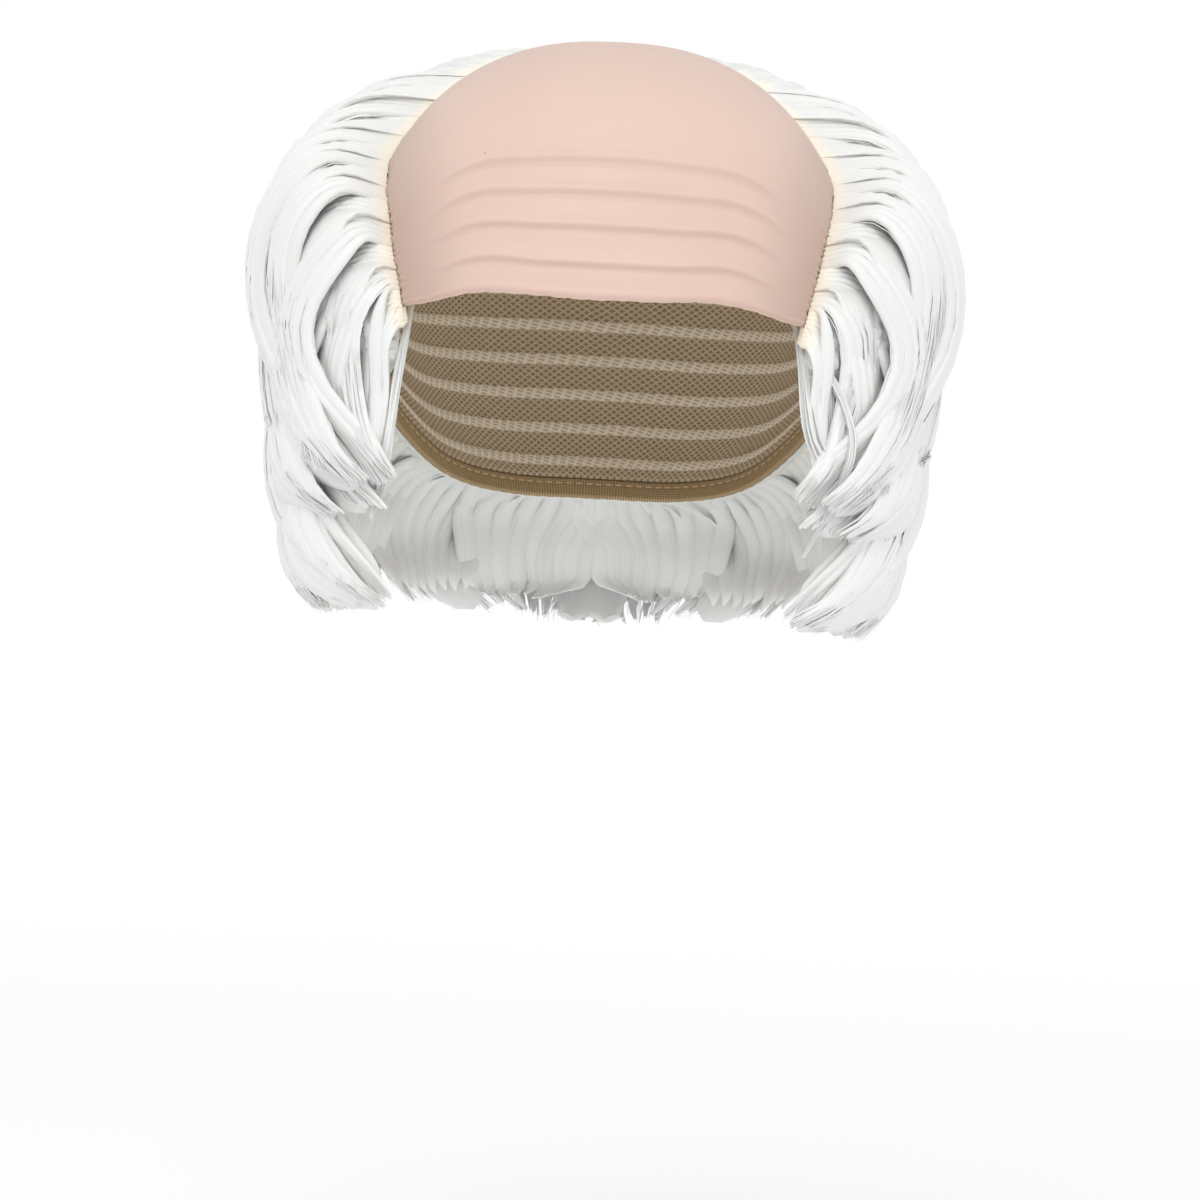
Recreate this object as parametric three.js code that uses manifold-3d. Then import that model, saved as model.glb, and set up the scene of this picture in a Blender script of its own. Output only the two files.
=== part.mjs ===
// A bald-top costume wig: a moulded latex pate with forehead creases, a cream seam band sewn round its
// side and back edge, a soft net cap with a bound hem, and white wavy hair in fused locks round the cap.
// Millimetres, +Z up. The face looks along -Y, +X is the viewer's right from the front.
// The origin is the crown seat: the highest point of the hollow, where it rests on the head.
import * as THREE from "three";
import { mergeVertices } from "three/addons/utils/BufferGeometryUtils.js";
import Module from "manifold-3d";

const wasm = await Module();
wasm.setup();

// Head form that the inside of the wig follows
const headHalfWidth = 76.5;
const headHalfLength = 96;
const crownRise = 85; // from the widest level of the head up to the crown seat
const headSquareness = 2.3; // 2 is an ellipsoid, more is squarer

// Walls and strips
const pateWall = 1.8;
const bandWall = 1.6;
const bandWidth = 5.5;
const bandTail = 7; // how far the band runs on below the pate's corner
const netWall = 1.6;
const hemWall = 2;
const hemWidth = 7;
const sewnGap = 0.7; // between neighbours that are sewn edge to edge
const stepsRound = 46; // facets of a strip from temple to temple
const netRows = 5; // facets of the net from the seam down to the hem

// Forehead creases
const creaseHeight = 1;
const creaseHalfWidth = 2.2;

// Hair
const hairGap = 0.35; // between the thickest wall under the hair and the hair's backing
const bandShown = 3; // width of band left bare beside the pate
const lockSink = 2.6; // how far above the backing's inside a lock may start
const partingGap = 0.5; // between two hair pieces
const partingAzimuth = 126; // where the side hair meets the back hair, degrees from the face
const backingDepth = 20; // greatest depth of the hair that the locks grow from
const lockReach = 32; // how far out from the head a full lock bellies
const lockWidth = 32;
const lockThickness = 0.45; // share of a lock's width
const lockRise = 11; // how far a lock rises above its root before it falls
const lockWave = 3.5; // in and out wave of a lock
const lockSway = 8; // side to side wave of a lock
const lockCurlDepth = 18; // how far a full curl turns in at its tip
const tipHook = 0.8; // 0 lets a lock hang straight to its tip, 1 bends it round until its tip lies level

// Share of the backing's greatest depth from the seam down to the hem
const backingSide = [
  { down: 0, share: 0.225 },
  { down: 0.1, share: 0.575 },
  { down: 0.3, share: 0.925 },
  { down: 0.5, share: 1 },
  { down: 0.75, share: 0.9 },
  { down: 1, share: 0.45 },
];
// Share of that depth from the temple to the middle of the back
const backingFullness = [
  { along: 0, share: 0.45 },
  { along: 0.1, share: 0.6 },
  { along: 0.25, share: 0.9 },
  { along: 0.5, share: 1.1 },
  { along: 1, share: 1 },
];

// Side edge of the pate: sweep over the head from brow level, and spread sideways, in degrees
const pateSide = [
  { sweep: -2.8, spread: 48.4 },
  { sweep: 15, spread: 52.6 },
  { sweep: 28, spread: 54.7 },
  { sweep: 48, spread: 57.3 },
  { sweep: 65, spread: 57.7 },
  { sweep: 80, spread: 55.3 },
  { sweep: 92, spread: 50 },
];
// Back edge of the pate: sweep at each share of the spread
const pateBack = [
  { share: 0, sweep: 108.5 },
  { share: 0.25, sweep: 106.5 },
  { share: 0.52, sweep: 101.7 },
  { share: 0.67, sweep: 98.3 },
  { share: 0.79, sweep: 96 },
  { share: 0.92, sweep: 94 },
  { share: 1, sweep: 92 },
];
// How the front edge and the creases rise and droop from the middle to the side, in degrees of sweep
const browLine = [
  { share: 0, edge: 0, crease: 0 },
  { share: 0.3, edge: 0.4, crease: 0.3 },
  { share: 0.5, edge: 0.9, crease: 1.3 },
  { share: 0.63, edge: 0.5, crease: 0.8 },
  { share: 0.76, edge: -0.6, crease: -1.2 },
  { share: 0.88, edge: -1.9, crease: -3 },
  { share: 1, edge: -2.8, crease: -3.6 },
];
// Creases from the lowest up: sweep of the crest, and the share of the width where it has faded out
const creases = [
  { sweep: 7.4, end: 0.84 },
  { sweep: 14.8, end: 0.86 },
  { sweep: 21.9, end: 0.86 },
  { sweep: 28.8, end: 0.82 },
];
// Lower edge of the cap: azimuth from the face and elevation from the widest level, in degrees
const capEdge = [
  { azimuth: 48.5, elevation: -12.5 },
  { azimuth: 57, elevation: -18 },
  { azimuth: 66, elevation: -23 },
  { azimuth: 74, elevation: -23 },
  { azimuth: 83, elevation: -16 },
  { azimuth: 94, elevation: -12 },
  { azimuth: 107, elevation: -14 },
  { azimuth: 121, elevation: -24 },
  { azimuth: 136, elevation: -33 },
  { azimuth: 156, elevation: -37 },
  { azimuth: 180, elevation: -38 },
];

// Locks of one side. at: share of the seam from the temple to the middle of the back. down: share of the cap below
// the seam. fall: azimuth where it hangs, and turn: how far its tip turns on from there, in degrees, less than 0 for
// towards the face. belly and tip: heights below the crown, as shares of the crown's rise.
// reach, curl, sway and width: shares of the sizes of a full lock, and the sway's sign is where its wave starts.
const sideLocks = [
  { at: 0.04, down: 0.1, fall: 50, turn: -4, reach: 0.22, belly: 1.25, tip: 1.72, curl: 0.28, sway: 0.38, width: 0.47 },
  { at: 0.11, down: 0, fall: 61, turn: -20, reach: 0.47, belly: 1.14, tip: 1.66, curl: 0.7, sway: 0.4, width: 0.78 },
  { at: 0.21, down: 0, fall: 71, turn: -27, reach: 0.75, belly: 1, tip: 1.64, curl: 0.85, sway: -0.55, width: 0.88 },
  { at: 0.32, down: 0, fall: 81, turn: -33, reach: 0.94, belly: 0.88, tip: 1.66, curl: 0.8, sway: 0.7, width: 0.91 },
  { at: 0.43, down: 0, fall: 90, turn: -28, reach: 1, belly: 0.78, tip: 1.58, curl: 0.56, sway: -0.8, width: 0.94 },
  { at: 0.54, down: 0, fall: 101, turn: -20, reach: 1, belly: 0.76, tip: 1.6, curl: 0.5, sway: 0.9, width: 0.94 },
  { at: 0.65, down: 0, fall: 114, turn: -12, reach: 0.97, belly: 0.8, tip: 1.54, curl: 0.5, sway: -1, width: 0.94 },
  { at: 0.2, down: 0.5, fall: 70, turn: -24, reach: 0.5, belly: 1.5, tip: 2.1, curl: 0.6, sway: -0.4, width: 0.88 },
  { at: 0.32, down: 0.5, fall: 82, turn: -33, reach: 0.75, belly: 1.45, tip: 2.14, curl: 0.66, sway: 0.5, width: 0.94 },
  { at: 0.44, down: 0.5, fall: 96, turn: -34, reach: 0.88, belly: 1.42, tip: 2.1, curl: 0.67, sway: -0.7, width: 0.94 },
  { at: 0.57, down: 0.5, fall: 112, turn: -26, reach: 0.84, belly: 1.42, tip: 2.12, curl: 0.67, sway: 0.8, width: 0.94 },
];
// Locks of the back, in the same columns, made on both sides
const backLocks = [
  { at: 0.74, down: 0, fall: 129, turn: -6, reach: 0.97, belly: 0.84, tip: 1.6, curl: 0.5, sway: -1, width: 1 },
  { at: 0.84, down: 0, fall: 148, turn: 6, reach: 0.97, belly: 0.86, tip: 1.52, curl: 0.5, sway: 1, width: 1.03 },
  { at: 0.95, down: 0, fall: 169, turn: -5, reach: 0.97, belly: 0.86, tip: 1.62, curl: 0.5, sway: -1, width: 1.03 },
  { at: 0.72, down: 0.55, fall: 132, turn: -12, reach: 0.81, belly: 1.5, tip: 2.12, curl: 0.67, sway: 0.75, width: 1.03 },
  { at: 0.85, down: 0.55, fall: 152, turn: 8, reach: 0.81, belly: 1.5, tip: 2.05, curl: 0.67, sway: -0.75, width: 1.06 },
  { at: 0.97, down: 0.55, fall: 173, turn: 0, reach: 0.81, belly: 1.5, tip: 2.12, curl: 0.67, sway: 0.62, width: 1.06 },
];

const radians = THREE.MathUtils.degToRad;
const clamp = THREE.MathUtils.clamp;
const smooth = (value) => THREE.MathUtils.smoothstep(value, 0, 1);
const mix = THREE.MathUtils.lerp;
const headScale = new THREE.Vector3(headHalfWidth, headHalfLength, crownRise);

// Reads a column of a table at a place between its rows, on a smooth curve through them
function readTable(table, place, column, x) {
  const last = table.length - 1;
  const at = clamp(x, table[0][place], table[last][place]);
  let i = 0;
  while (i < last - 1 && at > table[i + 1][place]) i++;
  const slope = (k) => {
    const a = table[Math.max(k - 1, 0)];
    const b = table[Math.min(k + 1, last)];
    return (b[column] - a[column]) / (b[place] - a[place]);
  };
  const span = table[i + 1][place] - table[i][place];
  const t = (at - table[i][place]) / span;
  const rise = table[i + 1][column] - table[i][column];
  const startPull = slope(i) * span - rise;
  const endPull = rise - slope(i + 1) * span;
  return table[i][column] + t * rise + t * (1 - t) * (startPull * (1 - t) + endPull * t);
}

function superNorm(x, y, z) {
  const n = headSquareness;
  return (Math.abs(x) ** n + Math.abs(y) ** n + Math.abs(z) ** n) ** (1 / n);
}

// The point of the head form in a direction, pushed out by lift along the form's normal
function onHead(direction, lift) {
  const unit = direction.clone().divideScalar(superNorm(direction.x, direction.y, direction.z));
  const steep = (value, size) => (Math.sign(value) * Math.abs(value) ** (headSquareness - 1)) / size;
  const normal = new THREE.Vector3(
    steep(unit.x, headHalfWidth),
    steep(unit.y, headHalfLength),
    steep(unit.z, crownRise),
  ).normalize();
  const point = unit.multiply(headScale).addScaledVector(normal, lift);
  point.z -= crownRise;
  return point;
}

function directionOf(point) {
  return new THREE.Vector3(
    point.x / headHalfWidth,
    point.y / headHalfLength,
    point.z / crownRise + 1,
  ).normalize();
}

function normalAt(point) {
  const direction = directionOf(point);
  return onHead(direction, 1).sub(onHead(direction, 0));
}

const bySweep = (sweep, spread) =>
  new THREE.Vector3(
    Math.sin(radians(spread)),
    -Math.cos(radians(spread)) * Math.cos(radians(sweep)),
    Math.cos(radians(spread)) * Math.sin(radians(sweep)),
  );

const byAzimuth = (azimuth, elevation) =>
  new THREE.Vector3(
    Math.cos(radians(elevation)) * Math.sin(radians(azimuth)),
    -Math.cos(radians(elevation)) * Math.cos(radians(azimuth)),
    Math.sin(radians(elevation)),
  );

// Moves every vertex of a closed three.js geometry by a function, and merges the seams
function warp(geometry, place) {
  const shape = new THREE.BufferGeometry();
  shape.setAttribute("position", geometry.getAttribute("position").clone());
  shape.setIndex(geometry.getIndex());
  const merged = mergeVertices(shape, 1e-4);
  const position = merged.getAttribute("position");
  const vertex = new THREE.Vector3();
  for (let i = 0; i < position.count; i++) {
    vertex.fromBufferAttribute(position, i);
    const moved = place(vertex);
    position.setXYZ(i, moved.x, moved.y, moved.z);
  }
  return merged;
}

// A sheet with a wall: place(across, along, lift share) for shares from 0 to 1
function sheetSolid(columns, rows, place) {
  const box = new THREE.BoxGeometry(1, 1, 1, columns, rows, 1);
  return solidOf(warp(box, (v) => place(v.x + 0.5, v.y + 0.5, v.z + 0.5)));
}

function solidOf(geometry) {
  const solid = new wasm.Manifold(
    new wasm.Mesh({
      numProp: 3,
      vertProperties: geometry.getAttribute("position").array,
      triVerts: new Uint32Array(geometry.getIndex().array),
    }),
  );
  return solid.volume() < 0 ? turnedOut(geometry) : solid;
}

// The same shape with its faces turned the right way round
function turnedOut(geometry) {
  const index = geometry.getIndex().array;
  for (let i = 0; i < index.length; i += 3) {
    [index[i + 1], index[i + 2]] = [index[i + 2], index[i + 1]];
  }
  return solidOf(geometry);
}

function meshOf(name, solid, colour, roughness) {
  const { vertProperties, triVerts, numProp } = solid.getMesh();
  const positions = new Float32Array((vertProperties.length / numProp) * 3);
  for (let i = 0; i < positions.length / 3; i++) {
    positions.set(vertProperties.subarray(i * numProp, i * numProp + 3), i * 3);
  }
  const geometry = new THREE.BufferGeometry();
  geometry.setAttribute("position", new THREE.BufferAttribute(positions, 3));
  geometry.setIndex(new THREE.BufferAttribute(triVerts, 1));
  const material = new THREE.MeshStandardMaterial({ color: colour, roughness, metalness: 0, flatShading: true });
  const mesh = new THREE.Mesh(geometry, material);
  mesh.name = name;
  return mesh;
}

// The pate's own grid: share across from -1 to 1, and sweep of the row at the middle
const backSweepMiddle = pateBack[0].sweep;

function patePlace(across, rowSweep) {
  const share = Math.abs(across);
  const wave = mix(
    readTable(browLine, "share", "edge", share),
    readTable(browLine, "share", "crease", share),
    clamp(rowSweep / creases[0].sweep, 0, 1),
  );
  const topCrease = creases[creases.length - 1].sweep;
  const waveFade = 1 - smooth((rowSweep - topCrease) / topCrease);
  const backPull = (rowSweep / backSweepMiddle) ** 3;
  const backBend = readTable(pateBack, "share", "sweep", share) - backSweepMiddle;
  const sweep = rowSweep + wave * waveFade + backBend * backPull;
  return { sweep, share };
}

function pateDirection(across, rowSweep) {
  const { sweep } = patePlace(across, rowSweep);
  const edgeSweep = patePlace(1, rowSweep).sweep;
  const spread = readTable(pateSide, "sweep", "spread", edgeSweep);
  return bySweep(sweep, across * spread);
}

function creaseRelief(across, rowSweep) {
  let relief = 0;
  for (const crease of creases) {
    const off = Math.abs(rowSweep - crease.sweep) / creaseHalfAngle;
    const fade = 1 - smooth((Math.abs(across) / crease.end - 0.75) / 0.25);
    relief = Math.max(relief, creaseHeight * fade * (1 - smooth(off)));
  }
  return relief;
}

const creaseHalfAngle = THREE.MathUtils.radToDeg(creaseHalfWidth / headHalfLength);

// Rows of the pate from the front edge to the back edge: three to a crease, wider apart on the dome
function pateRows() {
  const lowest = creases[0].sweep;
  const highest = creases[creases.length - 1].sweep;
  const domeRows = 5;
  const rows = [0, lowest * 0.35];
  for (const { sweep } of creases) rows.push(sweep - creaseHalfAngle, sweep, sweep + creaseHalfAngle);
  for (let i = 1; i <= domeRows; i++) {
    rows.push(mix(highest + creaseHalfAngle, backSweepMiddle, (i / domeRows) ** 0.95));
  }
  return rows;
}

function makePate() {
  const rows = pateRows();
  const steps = rows.length - 1;
  return sheetSolid(24, steps, (across, along, outer) => {
    const side = across * 2 - 1;
    const rowSweep = rows[Math.round(along * steps)];
    return onHead(pateDirection(side, rowSweep), outer * (pateWall + creaseRelief(side, rowSweep)));
  });
}

// The seam round the pate, from the right temple over the back of the crown to the left temple
function makeSeam() {
  const points = [];
  const sideSteps = 10;
  const backSteps = 14;
  for (let i = 0; i < sideSteps; i++) points.push(onHead(pateDirection(1, (backSweepMiddle * i) / sideSteps), 0));
  for (let i = 0; i <= backSteps; i++) {
    points.push(onHead(pateDirection(1 - (2 * i) / backSteps, backSweepMiddle), 0));
  }
  for (let i = sideSteps - 1; i >= 0; i--) {
    points.push(onHead(pateDirection(-1, (backSweepMiddle * i) / sideSteps), 0));
  }
  return points;
}

// The seam carried on below both corners of the pate, for the band's tails
function makeBandLine() {
  const points = makeSeam();
  const tail = (corner, next) => {
    const on = corner.clone().addScaledVector(corner.clone().sub(next).normalize(), bandTail);
    return onHead(directionOf(on), 0);
  };
  const first = tail(points[0], points[1]);
  const last = tail(points[points.length - 1], points[points.length - 2]);
  return new THREE.CatmullRomCurve3([first, ...points, last], false, "centripetal");
}

function makeEdgeLine() {
  const points = [];
  const last = capEdge.length - 1;
  for (let i = 0; i <= last; i++) points.push(onHead(byAzimuth(capEdge[i].azimuth, capEdge[i].elevation), 0));
  for (let i = last - 1; i >= 0; i--) points.push(onHead(byAzimuth(-capEdge[i].azimuth, capEdge[i].elevation), 0));
  return new THREE.CatmullRomCurve3(points, false, "centripetal");
}

const bandLine = makeBandLine();
const edgeLine = makeEdgeLine();

// The point at a share of a line on the head form, moved sideways over the form. Positive is to the left of the way
// the line runs, seen from outside.
function besideLine(line, share, distance) {
  const point = line.getPointAt(share);
  const sideways = normalAt(point).cross(line.getTangentAt(share)).normalize();
  return directionOf(point.addScaledVector(sideways, distance));
}

// A strip that follows a line on the head form, from one distance beside it to another
function stripSolid(line, from, to, wall) {
  return sheetSolid(stepsRound, 1, (along, across, outer) =>
    onHead(besideLine(line, along, mix(from, to, across)), outer * wall),
  );
}

// Away from the pate is to the right of the seam's way, and up from the hem is to the left of the edge's way
const bandFrom = -sewnGap;
const bandTo = -sewnGap - bandWidth;
const netTop = bandTo - sewnGap;
const netBottom = hemWidth + sewnGap;

// A place on the cap: along both lines, and down from one distance beside the seam to one beside the edge
function capDirection(along, down, topDistance, bottomDistance) {
  const top = besideLine(bandLine, along, topDistance);
  const bottom = besideLine(edgeLine, along, bottomDistance);
  const angle = top.angleTo(bottom);
  const start = Math.sin((1 - down) * angle) / Math.sin(angle);
  const end = Math.sin(down * angle) / Math.sin(angle);
  return top.multiplyScalar(start).addScaledVector(bottom, end);
}

function netDirection(along, row) {
  return capDirection(along, row / netRows, netTop, netBottom);
}

function makeNet() {
  return sheetSolid(stepsRound, netRows, (along, down, outer) =>
    onHead(netDirection(along, down * netRows), outer * netWall),
  );
}

const thickestWall = Math.max(bandWall, netWall, hemWall, pateWall);
const backingInside = thickestWall + hairGap;

// The backing has the net's own rows and is made inside out, so that its inner facets lie just like the net's outer
// ones. It has one more row over the band and one over the hem.
function makeBacking() {
  const rows = netRows + 2;
  return sheetSolid(stepsRound, rows, (along, down, inner) => {
    const row = Math.round(down * rows);
    let direction = netDirection(along, row - 1);
    if (row === 0) direction = besideLine(bandLine, along, -bandShown);
    if (row === rows) direction = besideLine(edgeLine, along, sewnGap);
    const fullness = readTable(backingFullness, "along", "share", 1 - Math.abs(1 - 2 * along));
    const place = clamp((row - 0.7) / netRows, 0, 1);
    const thickness = fullness * backingDepth * readTable(backingSide, "down", "share", place);
    return onHead(direction, backingInside + (1 - inner) * thickness);
  });
}

// Plan radius of the head form at its widest level
function planRadius(azimuth) {
  return 1 / superNorm(Math.sin(azimuth) / headHalfWidth, Math.cos(azimuth) / headHalfLength, 0);
}

function polarPoint(azimuth, out, height) {
  const radius = planRadius(azimuth) + out;
  return new THREE.Vector3(radius * Math.sin(azimuth), -radius * Math.cos(azimuth), height);
}

// The line that a lock follows: up from its root, out over the head, and down in a wave to its tip
function lockLine(lock, side) {
  const along = 0.5 - side * (0.5 - lock.at / 2);
  const root = onHead(capDirection(along, lock.down, -bandShown, sewnGap), backingInside + lockSink);
  const rootAzimuth = Math.abs(Math.atan2(root.x, -root.y));
  const rootOut = Math.hypot(root.x, root.y) - planRadius(rootAzimuth);
  const bellyHeight = -lock.belly * crownRise;
  const tipHeight = -lock.tip * crownRise;
  const topHeight = Math.max(root.z, bellyHeight) + lockRise;
  const bend = 0.45; // share of the line where the lock bellies
  const steps = 9;
  const points = [];
  for (let i = 0; i <= steps; i++) {
    const t = i / steps;
    const over = clamp(t / bend, 0, 1) * (Math.PI / 2);
    const fall = clamp((t - bend) / (1 - bend), 0, 1);
    const wave = Math.sign(lock.sway) * Math.sin(3 * Math.PI * t) * smooth(t / 0.5);
    const sink = mix(fall, Math.sin((fall * Math.PI) / 2), tipHook);
    const hung = mix(rootAzimuth, radians(lock.fall), smooth(t / 0.65));
    const azimuth = hung + radians(lock.turn) * smooth((t - 0.4) / 0.6) ** 1.3;
    const swayed = azimuth + (wave * Math.abs(lock.sway) * lockSway) / headHalfLength;
    const curl = lock.curl * lockCurlDepth * smooth(fall) * fall;
    const out = mix(rootOut, lock.reach * lockReach, Math.sin(over)) - curl + wave * lockWave;
    const rise = mix(root.z - topHeight, 0, smooth(t / 0.2));
    const upper = mix(bellyHeight, topHeight, Math.cos(over)) + rise;
    const point = polarPoint(swayed, out, t < bend ? upper : mix(bellyHeight, tipHeight, sink));
    point.x *= side;
    points.push(i === 0 ? root : point);
  }
  return new THREE.CatmullRomCurve3(points, false, "centripetal");
}

// Keeps a point of a lock out of the cap
function clearOfCap(point) {
  const floor = onHead(directionOf(point), backingInside + lockSink);
  const centre = new THREE.Vector3(0, 0, -crownRise);
  return point.distanceTo(centre) < floor.distanceTo(centre) ? floor : point;
}

// A lock: a closed round form drawn out along its line, flat against the head, full in the middle and thin at the tip
function makeLock(lock, side) {
  const line = lockLine(lock, side);
  const width = lock.width * lockWidth;
  const sides = 6;
  const rings = 8;
  const form = new THREE.SphereGeometry(1, sides, rings);
  return solidOf(
    warp(form, (v) => {
      const share = Math.acos(clamp(v.y, -1, 1)) / Math.PI;
      const point = line.getPointAt(share);
      const outward = new THREE.Vector3(point.x / headHalfWidth, point.y / headHalfLength, point.z / crownRise + 1);
      const way = line.getTangentAt(share);
      const across = outward.clone().cross(way).normalize();
      const away = way.clone().cross(across).normalize();
      const around = Math.atan2(v.z, v.x);
      const full = Math.min(1, 4 * share + 0.3) * Math.min(1, 4.5 * (1 - share)) ** 0.6;
      const ringSize = share < 1e-3 || share > 1 - 1e-3 ? 0 : full / 2;
      point.addScaledVector(across, Math.cos(around) * width * ringSize);
      point.addScaledVector(away, Math.sin(around) * width * lockThickness * ringSize);
      return clearOfCap(point);
    }),
  );
}

// Keeps the part of a solid on one side of an upright plane through the head's axis
function partedBy(solid, azimuth, keep) {
  const normal = [Math.cos(radians(azimuth)) * keep, Math.sin(radians(azimuth)) * keep, 0];
  return solid.trimByPlane(normal, partingGap / 2);
}

const backing = makeBacking();

function makeSideHair(side) {
  const locks = sideLocks.map((lock) => makeLock(lock, side));
  const hair = wasm.Manifold.union([backing, ...locks]);
  const ownSide = hair.trimByPlane([side, 0, 0], partingGap / 2);
  return partedBy(ownSide, side * partingAzimuth, -side);
}

function makeBackHair() {
  const locks = backLocks.flatMap((lock) => [makeLock(lock, 1), makeLock(lock, -1)]);
  const hair = wasm.Manifold.union([backing, ...locks]);
  return partedBy(partedBy(hair, partingAzimuth, 1), -partingAzimuth, -1);
}

const latexPink = 0xe3bdb1;
const seamCream = 0xf3e6cd;
const netTan = 0xb99a6b;
const hairWhite = 0xe9ebe8;

const wig = new THREE.Group();
wig.name = "wavy_wig";
wig.add(meshOf("bald_pate", makePate(), latexPink, 0.5));
wig.add(meshOf("seam_band", stripSolid(bandLine, bandFrom, bandTo, bandWall), seamCream, 0.9));
wig.add(meshOf("cap_net", makeNet(), netTan, 0.95));
wig.add(meshOf("cap_hem", stripSolid(edgeLine, 0, hemWidth, hemWall), netTan, 0.9));
wig.add(meshOf("hair_right", makeSideHair(1), hairWhite, 0.5));
wig.add(meshOf("hair_left", makeSideHair(-1), hairWhite, 0.5));
wig.add(meshOf("hair_back", makeBackHair(), hairWhite, 0.5));

export default wig;
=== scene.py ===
import math

import bmesh
import bpy
import numpy as np
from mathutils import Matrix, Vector


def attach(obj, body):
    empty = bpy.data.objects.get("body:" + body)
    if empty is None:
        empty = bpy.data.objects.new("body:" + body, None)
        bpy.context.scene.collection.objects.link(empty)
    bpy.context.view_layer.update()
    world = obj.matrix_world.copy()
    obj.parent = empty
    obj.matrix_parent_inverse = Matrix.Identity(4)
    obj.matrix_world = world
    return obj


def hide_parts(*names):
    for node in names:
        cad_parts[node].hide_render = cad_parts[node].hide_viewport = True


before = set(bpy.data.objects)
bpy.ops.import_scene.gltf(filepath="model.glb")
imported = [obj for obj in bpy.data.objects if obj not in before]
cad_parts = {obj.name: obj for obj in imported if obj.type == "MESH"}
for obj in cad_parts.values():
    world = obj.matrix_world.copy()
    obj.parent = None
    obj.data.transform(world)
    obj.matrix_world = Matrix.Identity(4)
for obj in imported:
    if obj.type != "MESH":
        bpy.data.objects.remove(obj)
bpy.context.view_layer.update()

# Bald-top wavy wig. Metres, +Z up, the front looks along -Y, and the origin is the crown seat.
mm = 0.001

# The cap's inner form and the lines sewn on it are the same ones that the CAD solids follow
head = {"halfWidth": 76.5 * mm, "halfLength": 96 * mm, "crownRise": 85 * mm, "squareness": 2.3}
headScale = np.array([head["halfWidth"], head["halfLength"], head["crownRise"]])

pateSide = [
    {"sweep": -2.8, "spread": 48.4},
    {"sweep": 15, "spread": 52.6},
    {"sweep": 28, "spread": 54.7},
    {"sweep": 48, "spread": 57.3},
    {"sweep": 65, "spread": 57.7},
    {"sweep": 80, "spread": 55.3},
    {"sweep": 92, "spread": 50},
]
pateBack = [
    {"share": 0, "sweep": 108.5},
    {"share": 0.25, "sweep": 106.5},
    {"share": 0.52, "sweep": 101.7},
    {"share": 0.67, "sweep": 98.3},
    {"share": 0.79, "sweep": 96},
    {"share": 0.92, "sweep": 94},
    {"share": 1, "sweep": 92},
]
browLine = [
    {"share": 0, "edge": 0, "crease": 0},
    {"share": 0.3, "edge": 0.4, "crease": 0.3},
    {"share": 0.5, "edge": 0.9, "crease": 1.3},
    {"share": 0.63, "edge": 0.5, "crease": 0.8},
    {"share": 0.76, "edge": -0.6, "crease": -1.2},
    {"share": 0.88, "edge": -1.9, "crease": -3},
    {"share": 1, "edge": -2.8, "crease": -3.6},
]
creases = [
    {"sweep": 7.4, "end": 0.84},
    {"sweep": 14.8, "end": 0.86},
    {"sweep": 21.9, "end": 0.86},
    {"sweep": 28.8, "end": 0.82},
]
capEdge = [
    {"azimuth": 48.5, "elevation": -12.5},
    {"azimuth": 57, "elevation": -18},
    {"azimuth": 66, "elevation": -23},
    {"azimuth": 74, "elevation": -23},
    {"azimuth": 83, "elevation": -16},
    {"azimuth": 94, "elevation": -12},
    {"azimuth": 107, "elevation": -14},
    {"azimuth": 121, "elevation": -24},
    {"azimuth": 136, "elevation": -33},
    {"azimuth": 156, "elevation": -37},
    {"azimuth": 180, "elevation": -38},
]
sewn = {"gap": 0.7 * mm, "bandWidth": 5.5 * mm, "bandTail": 7 * mm, "hemWidth": 7 * mm}


def smooth(value):
    value = np.clip(value, 0, 1)
    return value * value * (3 - 2 * value)


def mix(a, b, share):
    return a + (b - a) * share


def readTable(rows, place, column, at):
    x = np.array([row[place] for row in rows], float)
    y = np.array([row[column] for row in rows], float)
    slope = np.empty_like(y)
    slope[1:-1] = (y[2:] - y[:-2]) / (x[2:] - x[:-2])
    slope[0] = (y[1] - y[0]) / (x[1] - x[0])
    slope[-1] = (y[-1] - y[-2]) / (x[-1] - x[-2])
    at = np.clip(at, x[0], x[-1])
    i = np.clip(np.searchsorted(x, at, side="right") - 1, 0, len(x) - 2)
    span = x[i + 1] - x[i]
    t = (at - x[i]) / span
    rise = y[i + 1] - y[i]
    startPull = slope[i] * span - rise
    endPull = rise - slope[i + 1] * span
    return y[i] + t * rise + t * (1 - t) * (startPull * (1 - t) + endPull * t)


def unitOf(vectors):
    return vectors / np.linalg.norm(vectors, axis=-1, keepdims=True)


def onHead(direction, lift):
    n = head["squareness"]
    unit = direction / (np.abs(direction) ** n).sum(-1, keepdims=True) ** (1 / n)
    normal = unitOf(np.sign(unit) * np.abs(unit) ** (n - 1) / headScale)
    point = unit * headScale + normal * np.asarray(lift)[..., None]
    return point - np.array([0, 0, head["crownRise"]])


def directionOf(point):
    return unitOf((point + np.array([0, 0, head["crownRise"]])) / headScale)


def normalAt(point):
    direction = directionOf(point)
    return unitOf(onHead(direction, mm) - onHead(direction, 0))


def bySweep(sweep, spread):
    sweep, spread = np.radians(sweep), np.radians(spread)
    return np.stack([np.sin(spread), -np.cos(spread) * np.cos(sweep), np.cos(spread) * np.sin(sweep)], -1)


def byAzimuth(azimuth, elevation):
    azimuth, elevation = np.radians(azimuth), np.radians(elevation)
    flat = np.cos(elevation)
    return np.stack([flat * np.sin(azimuth), -flat * np.cos(azimuth), np.sin(elevation)], -1)


backSweepMiddle = pateBack[0]["sweep"]
topCrease = creases[-1]["sweep"]
mmPerDegree = math.radians(head["halfLength"]) / mm


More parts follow.
